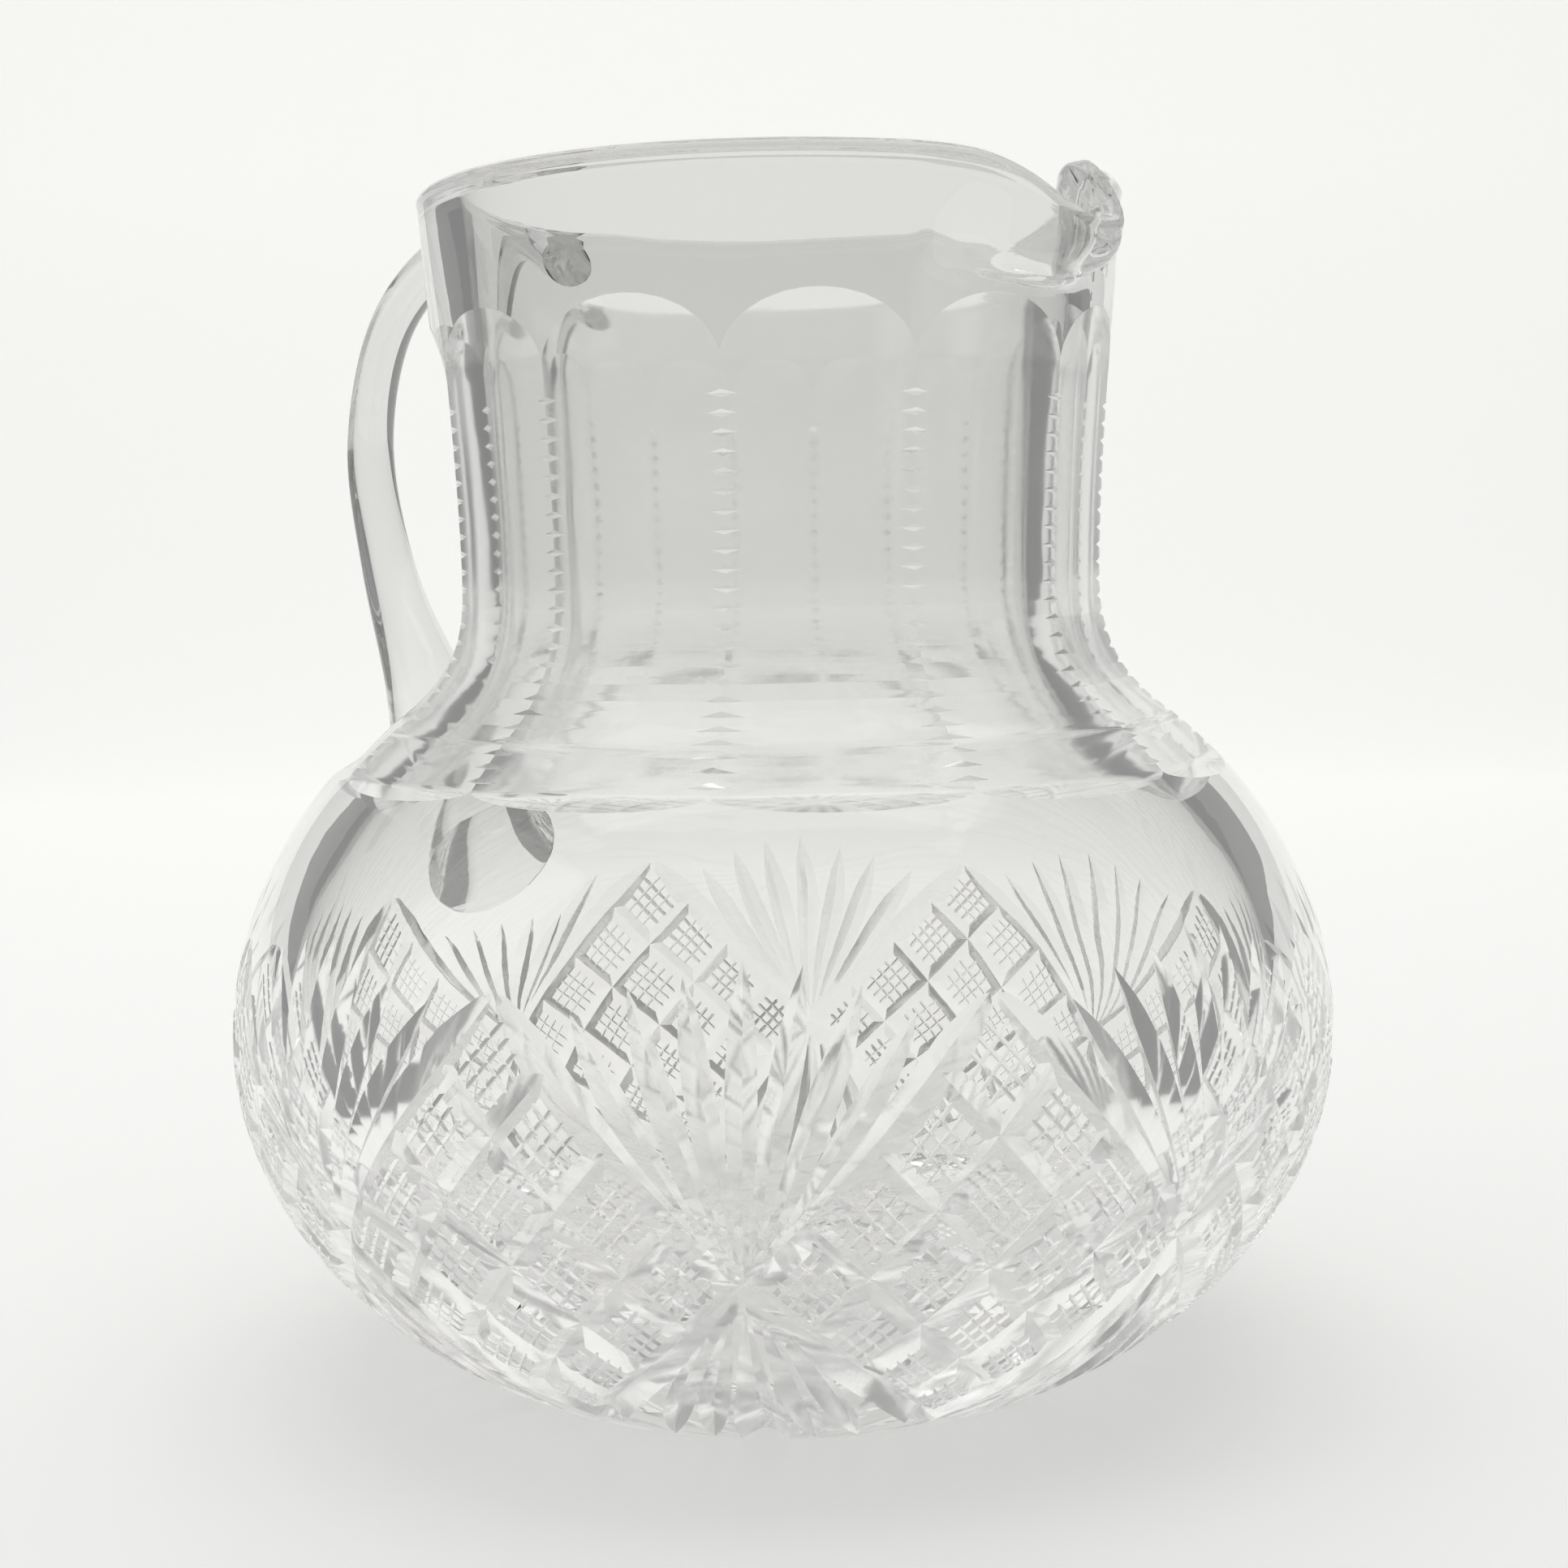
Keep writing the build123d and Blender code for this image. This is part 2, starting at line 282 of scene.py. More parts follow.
def buildBlank():
    # each point of the ring line is carried round the axis; near the lip it moves with the rim
    line, across = ringLine()
    angle = np.radians(turns)[None, :]
    radius, level = line[:, 0][:, None], line[:, 1][:, None]
    points = np.stack([radius * np.cos(angle), radius * np.sin(angle), level + 0 * angle], -1)
    signed = (turns + 180.0) % 360.0 - 180.0
    outerMove = lipShift(signed, "outer", bodyShape["rimRadius"])[None]
    innerMove = lipShift(signed, "inner", bodyShape["rimRadius"] - bodyShape["neckWall"])[None]
    share = across[:, None, None]
    move = outerMove * (1 - share) + innerMove * share
    climb = np.clip((line[:, 1] - lipShape["rootLevel"])
                    / (bodyShape["height"] - bodyShape["rimRound"] - lipShape["rootLevel"]), 0.0, 1.0)
    pull = smoothThrough(lipShape["climb"], lipShape["pull"], climb)[:, None]
    drop = smoothThrough(lipShape["climb"], lipShape["drop"], climb)[:, None]
    points = points + move * np.stack([pull, pull, drop], -1)
    rows, columns = points.shape[:2]
    faces = tubeFaces(rows, columns)
    rowLayer = np.where(across[:-1] > 0.9, glassLayers["inside"], glassLayers["outside"])
    layers = np.r_[np.repeat(rowLayer, columns), np.full(columns, glassLayers["outside"]),
                   np.full(columns, glassLayers["inside"])]
    ring = np.arange(columns)
    base, floor = rows * columns, rows * columns + 1
    last = (rows - 1) * columns
    fans = ([[base, (j + 1) % columns, j] for j in ring]
            + [[floor, last + j, last + (j + 1) % columns] for j in ring])
    poles = [[0.0, 0.0, 0.0], [0.0, 0.0, bodyShape["baseWall"]]]
    everything = np.concatenate([points.reshape(-1, 3), poles])
    faces = faces.tolist() + fans
    if enclosed(everything, faces) < 0:
        faces = [face[::-1] for face in faces]
    return meshObject("cut_glass_body", everything, faces, layers)


body = buildBlank()
print("blank", len(body.data.polygons))


# ---- cutting wheels: a V carried along a line on the blank

def wheelCut(turn, run, depth, halfAngle, lift=0.7, leastHeight=0.1):
    # at every point of every line stand three corners: two above the glass, one at the wheel's edge;
    # where the wheel leaves the glass the V keeps its least height, clear of the surface
    point, facing = onBlank(turn, run)
    along = unit(np.gradient(point, axis=1))
    side = unit(np.cross(along, facing))
    up = np.cross(side, along)
    deep = np.maximum(depth, leastHeight - lift)[..., None]
    half = (deep + lift) * np.tan(np.radians(halfAngle))
    corners = np.stack([point + lift * up - half * side, point - deep * up,
                        point + lift * up + half * side], 2)
    lines, stops = corners.shape[:2]
    one = tubeFaces(stops, 3)
    faces = np.concatenate([one + 3 * stops * n for n in range(lines)]).tolist()
    for n in range(lines):
        first, last = 3 * stops * n, 3 * stops * (n + 1) - 3
        faces += [[first + 2, first + 1, first], [last, last + 1, last + 2]]
    return corners, faces


def straightLines(start, end, stops):
    # lines from start to end, both arrays of turn and run, as straight as turn and run can show
    share = np.linspace(0.0, 1.0, stops)[None, :]
    start, end = np.asarray(start, float), np.asarray(end, float)
    return (start[:, :1] + (end[:, :1] - start[:, :1]) * share,
            start[:, 1:] + (end[:, 1:] - start[:, 1:]) * share, share)


# ---- flutes round the neck, with nicked ridges between them

fluteShape = {
    "count": 12, "turn": 6.36, "top": 142.4, "shoulder": 133.7, "foot": 82.9, "bottom": 81.0,
    "sink": 0.05, "halfWidth": 21.0, "outside": 95.0,
    "overTop": 0.3, "underBottom": 0.4, "openOut": 0.4,  # past its ends the slab draws away from the glass
    "footRows": 24, "rows": 50, "headRows": 36,
    "nickPitch": 2.35, "nickDepth": 0.5, "nickHalfAngle": 48.0, "nickTurn": 4.0,
    "nickFirst": 84.0, "nickLast": 132.3,
}


def fluteSlabs(parity):
    # a slab outside each flat panel: its inner face keeps the panel's distance from the axis,
    # the blank's radius times the cosine of half the panel's turn, which closes to nothing at both ends
    flute = fluteShape
    level = np.concatenate([
        np.linspace(flute["bottom"] - flute["underBottom"], flute["foot"], flute["footRows"],
                    endpoint=False),
        np.linspace(flute["foot"], flute["shoulder"], flute["rows"], endpoint=False),
        np.linspace(flute["shoulder"], flute["top"] + flute["overTop"], flute["headRows"])])
    head = np.clip((level - flute["shoulder"]) / (flute["top"] - flute["shoulder"]), 0.0, 1.0)
    foot = np.clip((flute["foot"] - level) / (flute["foot"] - flute["bottom"]), 0.0, 1.0)
    halfTurn = np.radians(180.0 / flute["count"]) * np.sqrt(1 - head ** 2) * np.sqrt(1 - foot ** 2)
    beyond = np.maximum(level - flute["top"], 0.0) + np.maximum(flute["bottom"] - level, 0.0)
    near = radiusAt(level) * np.cos(halfTurn) - flute["sink"] + flute["openOut"] * beyond
    far, wide = np.full_like(near, flute["outside"]), np.full_like(near, flute["halfWidth"])
    corners = np.stack([np.stack([out, side, level], -1) for out, side in
                        ((near, -wide), (near, wide), (far, wide), (far, -wide))], 1)
    step = 360.0 / flute["count"]
    middles = np.radians(flute["turn"] + step / 2 + step * np.arange(parity, flute["count"], 2))
    c, s = np.cos(middles)[:, None, None], np.sin(middles)[:, None, None]
    x, y, z = corners[None, ..., 0], corners[None, ..., 1], corners[None, ..., 2]
    points = np.stack([x * c - y * s, x * s + y * c, z + 0 * c], -1)
    size = 4 * len(level)
    faces = []
    for n in range(len(middles)):
        faces += tubeFaces(len(level), 4, n * size).tolist()
        faces += [[n * size + i for i in (3, 2, 1, 0)], [(n + 1) * size - 4 + i for i in (0, 1, 2, 3)]]
    return points, faces


for parity in (0, 1):
    cutAway(body, *fluteSlabs(parity))
print("flutes", len(body.data.polygons))


def nickLines():
    # short level lines across every ridge
    flute = fluteShape
    runs = np.arange(runAt(flute["nickFirst"]), runAt(flute["nickLast"]), flute["nickPitch"])
    ridges = flute["turn"] + 360.0 / flute["count"] * np.arange(flute["count"])
    ridge, run = (grid.ravel() for grid in np.meshgrid(ridges, runs))
    turn, run, share = straightLines(np.stack([ridge - flute["nickTurn"], run], 1),
                                     np.stack([ridge + flute["nickTurn"], run], 1), 5)
    return wheelCut(turn, run, flute["nickDepth"] + 0 * run, flute["nickHalfAngle"])


cutAway(body, *nickLines())
print("nicks", len(body.data.polygons))


# ---- diamonds round the belly: deep mitres, a grid of mitres inside each, and a fine hatch

diamondShape = {
    "count": 8, "turn": 17.75, "top": 62.1, "middle": 27.7, "bottom": 3.4,
    "mitreDepth": 1.65, "mitreHalfAngle": 56.0, "mitreStops": 56,
    "mitreOver": (0.03, 1.6, 2.0),  # past its ends: share of the line, and run at the top and the bottom
    "mitreFade": 0.09, "mitreFadePower": 0.6, "mitreTipLift": 0.3,
    "cells": 4, "cellDepth": 1.35, "cellHalfAngle": 55.0, "cellEnd": 0.75, "cellFade": 0.06,
    "hatchPitch": 0.165, "hatchEach": (-1, 0, 1), "hatchDepth": 0.32, "hatchHalfAngle": 46.0,
    "hatchLift": 0.5,
    "stops": 26,
}
halfDiamond = 180.0 / diamondShape["count"]
topRun, middleRun, bottomRun = (float(runAt(diamondShape[key])) for key in ("top", "middle", "bottom"))


def mitreLines(way):
    # from the top of each diamond through its side corner to the foot of the next diamond
    d = diamondShape
    tops = d["turn"] + 2 * halfDiamond * np.arange(d["count"])
    share = np.linspace(0.0, 1.0, d["mitreStops"])[None, :]
    over, overTop, overBottom = d["mitreOver"]
    knots = (-over, 0.5, 1.0 + over)
    run = np.interp(share, knots, (topRun + overTop, middleRun, bottomRun - overBottom)) + 0 * tops[:, None]
    turn = tops[:, None] + way * 2 * halfDiamond * share
    depth = d["mitreDepth"] * np.clip(share / d["mitreFade"], 0.0, 1.0) ** d["mitreFadePower"]
    depth[:, 0] -= d["mitreTipLift"]
    return turn, run, depth + 0 * run


def cellLines(way, shares):
    # lines beside the diamond's edge, from its upper other side to its lower other side
    d = diamondShape
    tops = (d["turn"] + 2 * halfDiamond * np.arange(d["count"]))[:, None]
    share = np.asarray(shares)[None, :]
    startTurn, startRun = tops - way * halfDiamond * share, topRun - (topRun - middleRun) * share + 0 * tops
    endTurn = tops + way * halfDiamond * (1 - share)
    endRun = middleRun - (middleRun - bottomRun) * share + 0 * tops
    return straightLines(np.stack([startTurn.ravel(), startRun.ravel()], 1),
                         np.stack([endTurn.ravel(), endRun.ravel()], 1), d["stops"])


def joinCuts(*cuts):
    # several cuts that don't touch become one shape
    points, faces, count = [], [], 0
    for corners, some in cuts:
        corners = corners.reshape(-1, 3)
        points.append(corners)
        faces += [[i + count for i in face] for face in some]
        count += len(corners)
    return np.concatenate(points), faces


def cutDiamonds(thing):
    d = diamondShape
    cellShares = np.arange(1, d["cells"]) / d["cells"]
    hatchShares = np.array([(n + 0.5 + d["hatchPitch"] * k) / d["cells"]
                            for n in range(d["cells"]) for k in d["hatchEach"]])
    for way in (1, -1):
        turn, run, share = cellLines(way, hatchShares)
        cutAway(thing, *wheelCut(turn, run, d["hatchDepth"] + 0 * run, d["hatchHalfAngle"], d["hatchLift"]))
    print("hatch", len(thing.data.polygons))
    for way in (1, -1):
        turn, run, depth = mitreLines(way)
        outline = wheelCut(turn, run, depth, d["mitreHalfAngle"])
        turn, run, share = cellLines(way, cellShares)
        fade = np.minimum(share, 1 - share)
        ease = d["cellEnd"] + (1 - d["cellEnd"]) * np.clip(fade / d["cellFade"], 0.0, 1.0)
        depth = d["cellDepth"] * ease + 0 * run
        cutAway(thing, *joinCuts(outline, wheelCut(turn, run, depth, d["cellHalfAngle"])))
    print("diamonds", len(thing.data.polygons))


cutDiamonds(body)


# ---- fans: pointed blades above and below every crossing

fanShape = {
    "turn": -4.75, "blades": (-15.2, -10.0, -5.0, 0.4, 5.8, 11.0, 15.8),
    "tips": (60.3, 63.2, 65.0, 66.6, 65.8, 63.8, 60.6),
    "root": 30.5, "rootTurn": 0.12, "depth": 1.45, "halfAngle": 52.0,
    "clearLevel": 53.0, "clearTurn": 15.0,  # blades stay clear of the handle's foot
    # shares along a blade from its root, and the part of its depth it has there
    "shares": (0.0, 0.3, 0.62, 0.85, 1.0), "leaf": (0.3, 0.8, 1.0, 0.62, -0.1),
    "lowBlades": (-14.5, -8.0, 0.0, 8.0, 14.5), "lowDepths": (1.5, 1.6, 2.8, 1.6, 1.5),
    "lowShares": (0.0, 0.35, 0.75, 1.0), "lowLeaf": (0.1, 0.9, 0.8, -0.05),
    "centreLeaf": (0.1, 0.6, 1.0, 0.9),
    "lowRoot": 25.0, "lowRootTurn": 0.16, "lowEnd": -3.0, "lowHalfAngle": 50.0,
    "stops": 22,
}


def cutFans(thing):
    # a blade is shallow at its root, deepest past its middle, and runs out of the glass at its point;
    # the centre one below stays deep and notches the edge of the base
    fan = fanShape
    middles = fan["turn"] + 2 * halfDiamond * np.arange(diamondShape["count"])
    for blade, tip in zip(fan["blades"], fan["tips"]):
        away = np.abs((middles + blade) % 360.0 - 180.0)
        tipLevel = np.where(away < fan["clearTurn"], np.minimum(tip, fan["clearLevel"]), tip)
        start = np.stack([middles + blade * fan["rootTurn"], runAt(fan["root"]) + 0 * middles], 1)
        end = np.stack([middles + blade, runAt(tipLevel)], 1)
        turn, run, share = straightLines(start, end, fan["stops"])
        depth = fan["depth"] * smoothThrough(fan["shares"], fan["leaf"], share)
        cutAway(thing, *wheelCut(turn, run, depth + 0 * run, fan["halfAngle"]))
    print("upper fans", len(thing.data.polygons))
    for blade, deep in zip(fan["lowBlades"], fan["lowDepths"]):
        start = np.stack([middles + blade * fan["lowRootTurn"], runAt(fan["lowRoot"]) + 0 * middles], 1)
        end = np.stack([middles + blade, fan["lowEnd"] * (blade == 0) + 0 * middles], 1)
        turn, run, share = straightLines(start, end, fan["stops"])
        leaf = fan["centreLeaf"] if blade == 0 else fan["lowLeaf"]
        depth = deep * smoothThrough(fan["lowShares"], leaf, share)
        cutAway(thing, *wheelCut(turn, run, depth + 0 * run, fan["lowHalfAngle"]))
    print("lower fans", len(thing.data.polygons))


cutFans(body)


# ---- star cut into the underside

starShape = {"rays": 16, "start": 1.5, "reach": 42.0, "width": 0.16, "widest": 2.4, "taper": 12.0,
             "leastTaper": 0.02, "point": 0.7, "below": 0.4, "halfAngle": 62.0, "stops": 12}


def starCut():
    # each ray is a V whose half width is a share of its distance from the axis, up to the widest,
    # and tapers to a point at its reach
    star, below = starShape, starShape["below"]
    out = np.linspace(star["start"], star["reach"], star["stops"])
    taper = np.clip((star["reach"] - out) / star["taper"], star["leastTaper"], 1.0) ** star["point"]
    half = np.minimum(star["width"] * out, star["widest"]) * taper
    deep = half / np.tan(np.radians(star["halfAngle"]))
    flat = half * (deep + below) / deep
    ray = np.stack([np.stack([out, -flat, 0 * out - below], -1), np.stack([out, 0 * out, deep], -1),
                    np.stack([out, flat, 0 * out - below], -1)], 1)
    angle = np.radians(360.0 / star["rays"] * np.arange(star["rays"]))[:, None, None]
    x, y, z = ray[..., 0], ray[..., 1], ray[..., 2]
    points = np.stack([x * np.cos(angle) - y * np.sin(angle), x * np.sin(angle) + y * np.cos(angle),
                       z + 0 * angle], -1)
    faces = []
    for n in range(star["rays"]):
        first, last = 3 * star["stops"] * n, 3 * star["stops"] * (n + 1) - 3
        faces += tubeFaces(star["stops"], 3, first).tolist()
        faces += [[first + 2, first + 1, first], [last, last + 1, last + 2]]
    return points, faces


cutAway(body, *starCut())
print("star", len(body.data.polygons))


# ---- shading: cuts stay crisp, the blown surfaces stay round

def readAll(items, name, count, kind=np.float32):
    # one value, or a row of values, from every item of a mesh
    values = np.zeros(len(items) * count, kind)
    items.foreach_get(name, values)
    return values.reshape(-1, count) if count > 1 else values


def finishShading(thing, sharpAngle=11.0, baseLevel=0.3):
    # an edge is sharp where a cut meets anything at more than the angle; a corner on the blown outside
    # or inside takes the direction that the profile has there
    mesh = thing.data
    mesh.set_sharp_from_angle(angle=np.radians(sharpAngle))
    layer = readAll(mesh.polygons, "material_index", 1, np.int32)
    total = readAll(mesh.polygons, "loop_total", 1, np.int32)
    cornerLayer = np.repeat(layer, total)
    cornerEdge = readAll(mesh.loops, "edge_index", 1, np.int32)
    cornerPoint = readAll(mesh.loops, "vertex_index", 1, np.int32)
    place = readAll(mesh.vertices, "co", 3)[cornerPoint] / metresPerMm
    cuts = np.zeros(len(mesh.edges), bool)
    cuts[cornerEdge[cornerLayer == glassLayers["cuts"]]] = True
    high = np.zeros(len(mesh.edges), bool)
    high[cornerEdge[place[:, 2] > 1.0]] = True
    sharp = readAll(mesh.edges, "use_edge_sharp", 1, bool)
    mesh.edges.foreach_set("use_edge_sharp", sharp & (cuts | ~high))
    normal = readAll(mesh.corner_normals, "vector", 3)
    radius = np.hypot(place[:, 0], place[:, 1])
    away = np.abs(np.degrees(np.arctan2(place[:, 1], place[:, 0])))
    plain = (place[:, 2] < lipShape["rootLevel"]) | (away > lipTurn)
    plain &= (place[:, 2] < bodyShape["height"] - bodyShape["rimRound"] - 0.2) & (radius > 1.0)
    for name, line, sign in (("outside", outerLine, 1.0), ("inside", innerLine, -1.0)):
        slope = unit(np.gradient(line, runAlong(line), axis=0))
        chosen = plain & (cornerLayer == glassLayers[name]) & (place[:, 2] > baseLevel)
        out, up = (np.interp(place[:, 2], line[:, 1], slope[:, i]) for i in (0, 1))
        direction = np.stack([up * place[:, 0] / np.maximum(radius, 1e-6),
                              up * place[:, 1] / np.maximum(radius, 1e-6), -out], 1) * sign
        normal[chosen] = direction[chosen]
    mesh.normals_split_custom_set(unit(normal).tolist())


finishShading(body)


# ---- handle: one gather of hot glass, thin at the rim and thick at the shoulder

handleShape = {
    "line": ((-45.0, 154.5), (-66.0, 160.6), (-87.4, 149.2), (-94.3, 131.0), (-90.6, 110.0), (-81.2, 90.0),
             (-73.0, 72.5), (-62.5, 57.0)),
    "shares": (0.0, 0.19, 0.47, 0.63, 0.78, 1.0),
    "widths": (12.0, 8.4, 8.4, 10.5, 16.0, 36.0),
    "thicknesses": (6.4, 6.6, 6.6, 7.6, 14.2, 25.0),
    "rows": 130, "columns": 64, "joint": 0.15, "sharpAngle": 35.0,
    "trimSpacing": 1.5, "trimTurn": 2.0,
}


def buildHandle():
    # an ellipse carried along a smooth line; its width and thickness change with the share of the line
    handle = handleShape
    knots = np.array(handle["line"])
    chord = runAlong(knots)
    t = np.linspace(0.0, chord[-1], 600)
    fine = np.stack([smoothThrough(chord, knots[:, 0], t), smoothThrough(chord, knots[:, 1], t)], 1)
    run = runAlong(fine)
    share = np.linspace(0.0, 1.0, handle["rows"])
    line = np.stack([np.interp(share * run[-1], run, fine[:, i]) for i in (0, 1)], 1)
    along = unit(np.gradient(line, axis=0))
    across = np.stack([along[:, 1], -along[:, 0]], 1)
    wide = smoothThrough(handle["shares"], handle["widths"], share)[:, None] / 2
    thick = smoothThrough(handle["shares"], handle["thicknesses"], share)[:, None] / 2
    angle = np.linspace(0.0, 2 * np.pi, handle["columns"], endpoint=False)[None, :]
    offset = thick * np.cos(angle)
    points = np.stack([line[:, :1] + across[:, :1] * offset, wide * np.sin(angle),
                       line[:, 1:] + across[:, 1:] * offset], -1)
    rows, columns = points.shape[:2]
    faces = tubeFaces(rows, columns).tolist()
    faces += [list(range(columns))[::-1], list(range((rows - 1) * columns, rows * columns))]
    points = points.reshape(-1, 3)
    if enclosed(points, [face[:4] for face in faces[:-2]]) < 0:
        faces = [face[::-1] for face in faces]
    thing = meshObject("applied_handle", points, faces, np.zeros(len(faces)))
    # the ends are trimmed to the blown outside, sunk by the joint so that the two melt together
    outline = evenly(outerLine, handle["trimSpacing"])
    slope = unit(np.gradient(outline, axis=0))
    outline = outline - handle["joint"] * np.stack([slope[:, 1], -slope[:, 0]], 1)
    ringAngle = np.radians(np.arange(0.0, 360.0, handle["trimTurn"]))[None, :]
    ring = np.stack([outline[:, :1] * np.cos(ringAngle), outline[:, :1] * np.sin(ringAngle),
                     outline[:, 1:] + 0 * ringAngle], -1)
    rows, columns = ring.shape[:2]
    solid = tubeFaces(rows, columns).tolist()
    solid += [list(range(columns))[::-1], list(range((rows - 1) * columns, rows * columns))]
    cutAway(thing, ring, solid)
    thing.data.set_sharp_from_angle(angle=np.radians(handle["sharpAngle"]))
    return thing


handle = buildHandle()
print("handle", len(handle.data.polygons))


# ---- glass

glassLook = {
    "index": 1.48, "warmth": (1.0, 1.0, 0.993),
    "dulled": (0.4, 0.7), "patchShare": 1.7,  # noise over which it grows dull; patch size beside the waves
    # level in metres, then how much light the glass lets by there: clear where cut, greyer up the neck as
    # painted shade for the darker tone the neck shows in its light
    "clearnessAndShade": ((0.050, 0.995), (0.072, 0.94), (0.095, 0.865), (0.165, 0.82)),
}
blownLook = {"clearnessAndShade": 0.97, "waveSize": 22.0, "waveDepth": 0.35, "fineSize": 160.0, "fineDepth": 0.006,
             "leastRough": 0.0, "mostRough": 0.02}
cutLook = {"clearnessAndShade": 1.0, "waveSize": 60.0, "waveDepth": 0.05, "fineSize": 650.0, "fineDepth": 0.006,
           "leastRough": 0.08, "mostRough": 0.16}
innerLook = {"clearnessAndShade": 1.0, "waveSize": 26.0, "waveDepth": 0.4, "fineSize": 150.0, "fineDepth": 0.006,
             "leastRough": 0.0, "mostRough": 0.02}
pulledLook = {"clearnessAndShade": 0.97, "waveSize": 30.0, "waveDepth": 0.5, "fineSize": 160.0, "fineDepth": 0.006,
              "leastRough": 0.0, "mostRough": 0.03}


def glassMaterial(name, finish):
    # glass that lets less light by up the neck, which is painted shade and not a tint of the glass, with
    # slow waves from blowing or polishing, a faint fine grain, and patches where years of washing have
    # dulled it
    look = glassLook
    material = bpy.data.materials.new(name)
    material.use_nodes = True
    nodes, links = material.node_tree.nodes, material.node_tree.links
    shader = nodes["Principled BSDF"]
    shader.inputs["Transmission Weight"].default_value = 1.0
    shader.inputs["IOR"].default_value = look["index"]
    place, parts = nodes.new("ShaderNodeTexCoord"), nodes.new("ShaderNodeSeparateXYZ")
    links.new(place.outputs["Object"], parts.inputs["Vector"])
    level, ramp = nodes.new("ShaderNodeMapRange"), nodes.new("ShaderNodeValToRGB")
    top = look["clearnessAndShade"][-1][0]
    level.inputs["From Max"].default_value = top
    links.new(parts.outputs["Z"], level.inputs["Value"])
    links.new(level.outputs["Result"], ramp.inputs["Fac"])
    stops = ramp.color_ramp.elements
    # the ramp greys the glass with height: painted shade up the neck, times each finish's own clearness
    for number, (height, clearnessAndShade) in enumerate(look["clearnessAndShade"]):
        stop = stops[number] if number < 2 else stops.new(1.0)
        stop.position = height / top
        shade = clearnessAndShade * finish["clearnessAndShade"]
        stop.color = (*(shade * part for part in look["warmth"]), 1.0)
    links.new(ramp.outputs["Color"], shader.inputs["Base Color"])
    wave, fine, patch = (nodes.new("ShaderNodeTexNoise") for _ in range(3))
    for noise, size, detail in ((wave, finish["waveSize"], 2.0), (fine, finish["fineSize"], 3.0),
                                (patch, finish["waveSize"] * look["patchShare"], 4.0)):
        noise.inputs["Scale"].default_value = size
        noise.inputs["Detail"].default_value = detail
        links.new(place.outputs["Object"], noise.inputs["Vector"])
    bumpWave, bumpFine = nodes.new("ShaderNodeBump"), nodes.new("ShaderNodeBump")
    for bump, noise, depth in ((bumpWave, wave, finish["waveDepth"]), (bumpFine, fine, finish["fineDepth"])):
        bump.inputs["Distance"].default_value = depth * metresPerMm
        links.new(noise.outputs["Fac"], bump.inputs["Height"])
    links.new(bumpWave.outputs["Normal"], bumpFine.inputs["Normal"])
    links.new(bumpFine.outputs["Normal"], shader.inputs["Normal"])
    rough = nodes.new("ShaderNodeMapRange")
    rough.inputs["From Min"].default_value, rough.inputs["From Max"].default_value = look["dulled"]
    rough.inputs["To Min"].default_value = finish["leastRough"]
    rough.inputs["To Max"].default_value = finish["mostRough"]
    links.new(patch.outputs["Fac"], rough.inputs["Value"])
    links.new(rough.outputs["Result"], shader.inputs["Roughness"])
    return material


blownGlass = glassMaterial("blownCrystal", blownLook)
cutGlass = glassMaterial("wheelCutCrystal", cutLook)
innerGlass = glassMaterial("innerCrystal", innerLook)
handleGlass = glassMaterial("pulledCrystal", pulledLook)
for slot, material in ((glassLayers["outside"], blownGlass), (glassLayers["cuts"], cutGlass),
                       (glassLayers["inside"], innerGlass)):
    body.data.materials[slot] = material
for slot in range(len(handle.data.materials)):
    handle.data.materials[slot] = handleGlass
for piece, node, slot in ((body, "jug_body", "cut_crystal"), (handle, "handle", "applied_crystal")):
    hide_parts(node)
    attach(piece, "root")
print("glass set")


# ---- camera

cameraPlace = {"side": 0.676, "distance": 327.25, "height": 110.63, "azimuth": 44.0, "pitch": 5.6603,
               "roll": -0.99722, "focal": 53.06, "sensor": 36.0, "clip": (0.01, 20.0)}


def addCamera():
    place = cameraPlace
    pitch, roll = np.radians(place["pitch"]), np.radians(place["roll"])
    ahead = np.array([0.0, np.cos(pitch), -np.sin(pitch)])
    level, up = np.array([1.0, 0.0, 0.0]), np.array([0.0, np.sin(pitch), np.cos(pitch)])
    right = level * np.cos(roll) + up * np.sin(roll)
    above = up * np.cos(roll) - level * np.sin(roll)
    pose = np.eye(4)
    pose[:3, 0], pose[:3, 1], pose[:3, 2] = right, above, -ahead
    pose[:3, 3] = np.array([place["side"], -place["distance"], place["height"]]) * metresPerMm
    camera = bpy.data.objects.new("camera", bpy.data.cameras.new("camera"))
    camera.data.lens, camera.data.sensor_width = place["focal"], place["sensor"]
    camera.data.clip_start, camera.data.clip_end = place["clip"]
    camera.matrix_world = Matrix.Rotation(np.radians(place["azimuth"]), 4, "Z") @ Matrix(pose.tolist())
    bpy.context.collection.objects.link(camera)
    bpy.context.scene.camera = camera


addCamera()


# ---- floor, backdrop and lights

stageShape = {"front": -1.6, "back": 0.75, "bend": 0.35, "wall": 1.9, "floorHalf": 1.6, "wallHalf": 0.7,
              "drop": 0.0003,  # metres of air left under the jug
              "paint": (0.78, 0.778, 0.765), "rough": 0.9, "gloss": 0.1,
              "glowTint": (1.0, 0.998, 0.98), "glow": 0.43, "world": 0.28}


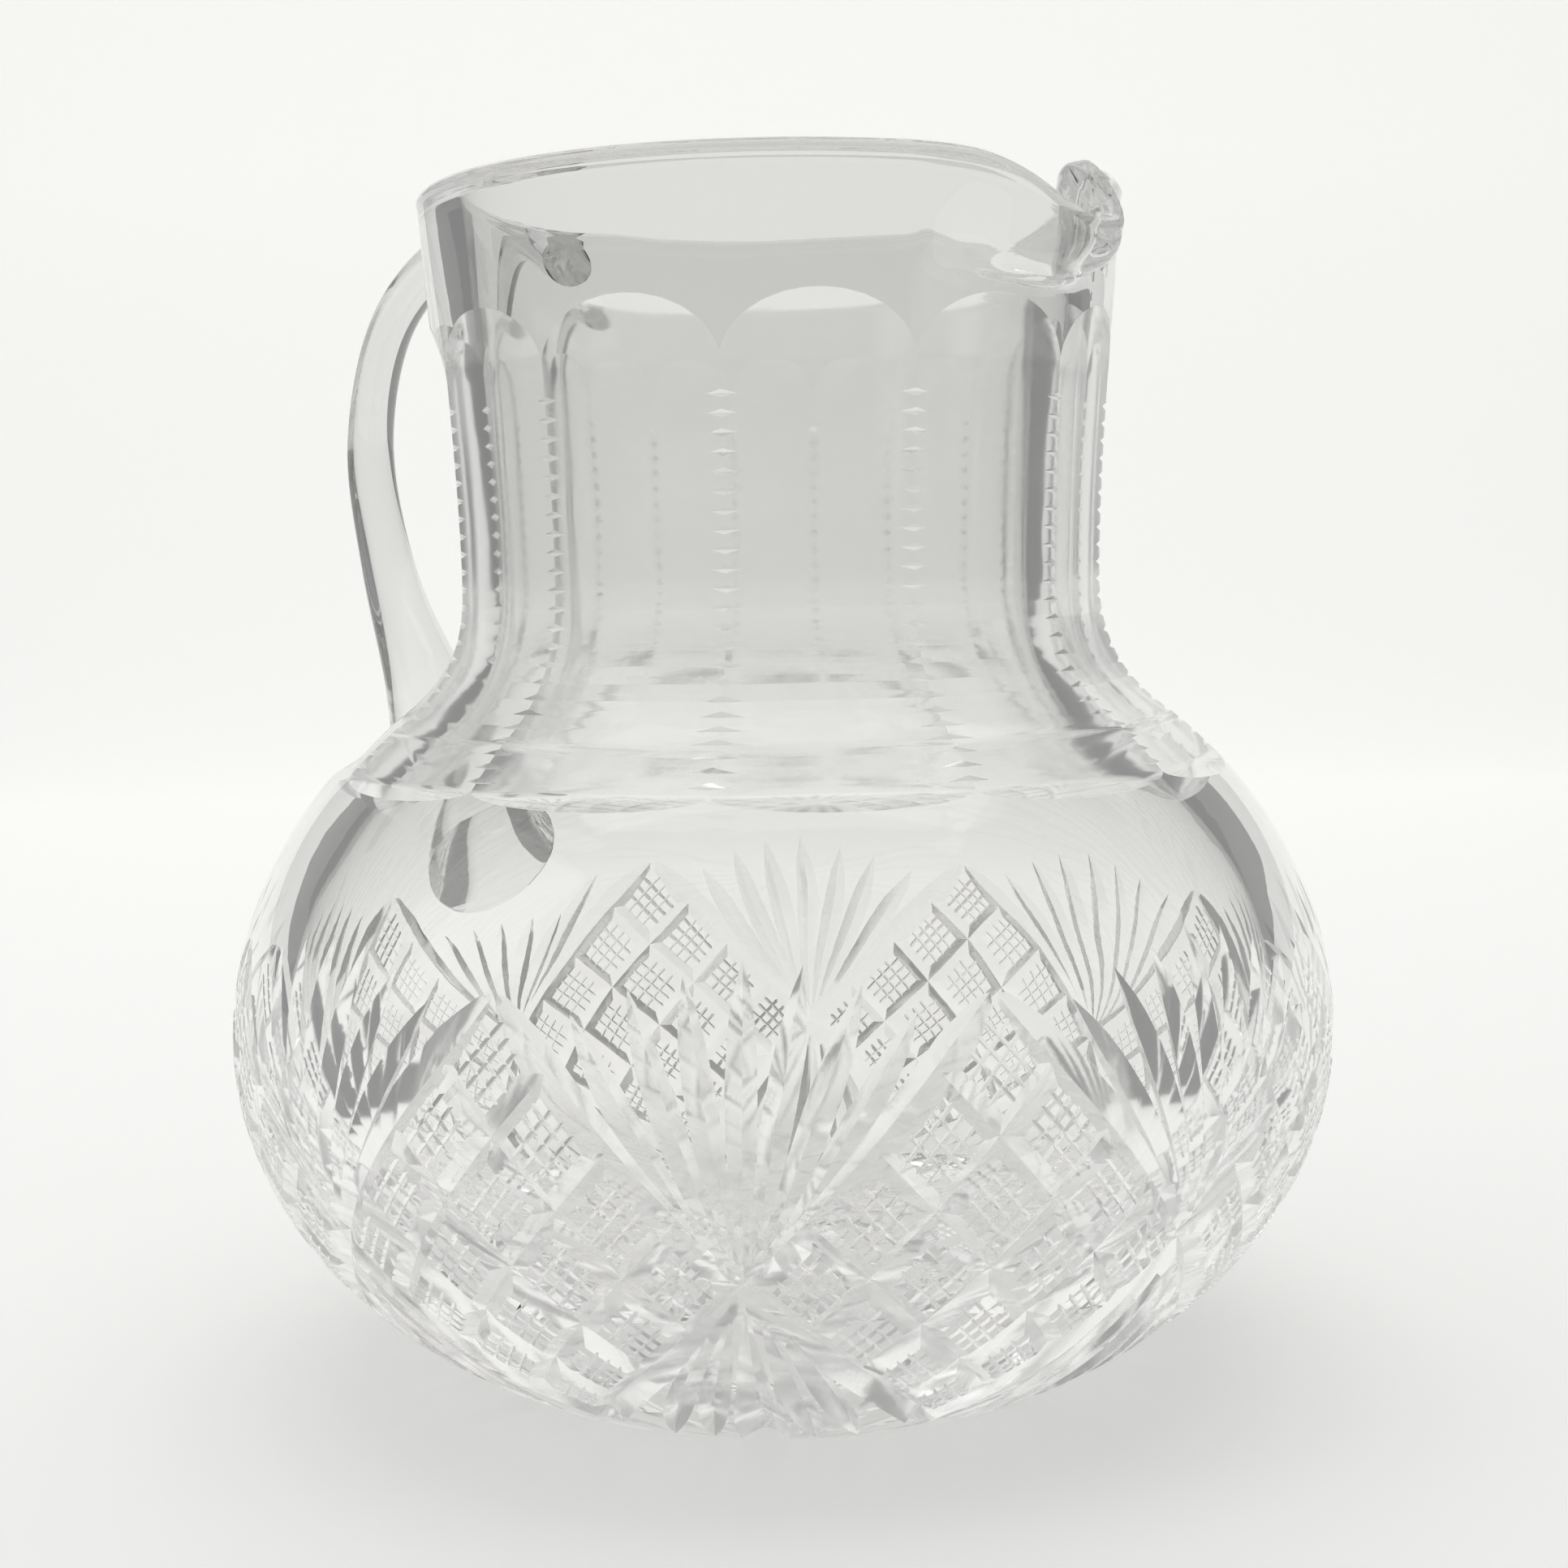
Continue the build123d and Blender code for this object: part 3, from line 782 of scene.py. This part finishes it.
def addStage():
    # a floor that bends up into a wall: a flat run, a quarter circle, an upright run, carried sideways
    stage = stageShape
    bend = np.linspace(0.0, np.pi / 2, 24)
    reach = np.r_[stage["front"], stage["back"] + stage["bend"] * np.sin(bend),
                  stage["back"] + stage["bend"]]
    rise = np.r_[0.0, stage["bend"] * (1 - np.cos(bend)), stage["wall"]] - stage["drop"]
    side = np.linspace(-1.0, 1.0, 9)
    narrow = np.clip(rise / stage["bend"], 0.0, 1.0)
    half = stage["floorHalf"] + (stage["wallHalf"] - stage["floorHalf"]) * narrow * (2.0 - narrow)
    turn = np.radians(cameraPlace["azimuth"])
    x, y = half[:, None] * side, np.repeat(reach[:, None], len(side), 1)
    z = np.repeat(rise[:, None], len(side), 1)
    points = np.stack([x * np.cos(turn) - y * np.sin(turn), x * np.sin(turn) + y * np.cos(turn), z], -1)
    i, j = np.meshgrid(np.arange(len(reach) - 1), np.arange(len(side) - 1), indexing="ij")
    corner = (i * len(side) + j).ravel()
    faces = np.stack([corner, corner + 1, corner + len(side) + 1, corner + len(side)], 1).tolist()
    floor = meshObject("pale_floor", points / metresPerMm, faces)
    paper = bpy.data.materials.new("paper")
    paper.use_nodes = True
    shader = paper.node_tree.nodes["Principled BSDF"]
    shader.inputs["Base Color"].default_value = (*stage["paint"], 1.0)
    shader.inputs["Roughness"].default_value = stage["rough"]
    shader.inputs["Emission Color"].default_value = (*stage["glowTint"], 1.0)
    shader.inputs["Emission Strength"].default_value = stage["glow"]
    shader.inputs["Specular IOR Level"].default_value = stage["gloss"]
    floor.data.materials.append(paper)


# name, brightness of its face, width, height, azimuth from the camera, distance, level, level aimed at
lightRig = (
    ("overhead", 0.82, 1.8, 1.4, 180.0, 0.3, 1.5, 0.08),
    ("wallWash", 0.20, 1.3, 0.5, 0.0, 0.1, 1.35, 0.6),
    ("leftWindow", 0.64, 0.6, 1.0, -75.0, 1.1, 0.7, 0.08),
)


def addLight(name, brightness, width, height, azimuth, distance, level, aimLevel):
    # a flat soft box that faces a point on the jug's axis
    angle = np.radians(cameraPlace["azimuth"] + azimuth)
    light = bpy.data.lights.new(name, "AREA")
    light.shape, light.size, light.size_y = "RECTANGLE", width, height
    light.energy = brightness * np.pi * width * height
    lamp = bpy.data.objects.new(name, light)
    spot = np.array([np.sin(angle) * distance, -np.cos(angle) * distance, level])
    back = unit(spot - np.array([0.0, 0.0, aimLevel]))
    side = unit(np.cross([0.0, 0.0, 1.0], back))
    pose = np.eye(4)
    pose[:3, 0], pose[:3, 1], pose[:3, 2], pose[:3, 3] = side, np.cross(back, side), back, spot
    lamp.matrix_world = Matrix(pose.tolist())
    bpy.context.collection.objects.link(lamp)


addStage()
for light in lightRig:
    addLight(*light)
scene = bpy.context.scene
world = bpy.data.worlds.new("room")
world.use_nodes = True
world.node_tree.nodes["Background"].inputs["Color"].default_value = (stageShape["world"],) * 3 + (1.0,)
scene.world = world
scene.view_settings.view_transform = "Standard"
glassBounces = 48  # light turns back many times inside thick glass, and fewer bounces leave black patches
for kind in ("max_bounces", "glossy_bounces", "transmission_bounces"):
    setattr(scene.cycles, kind, glassBounces)
print("stage and lights set")
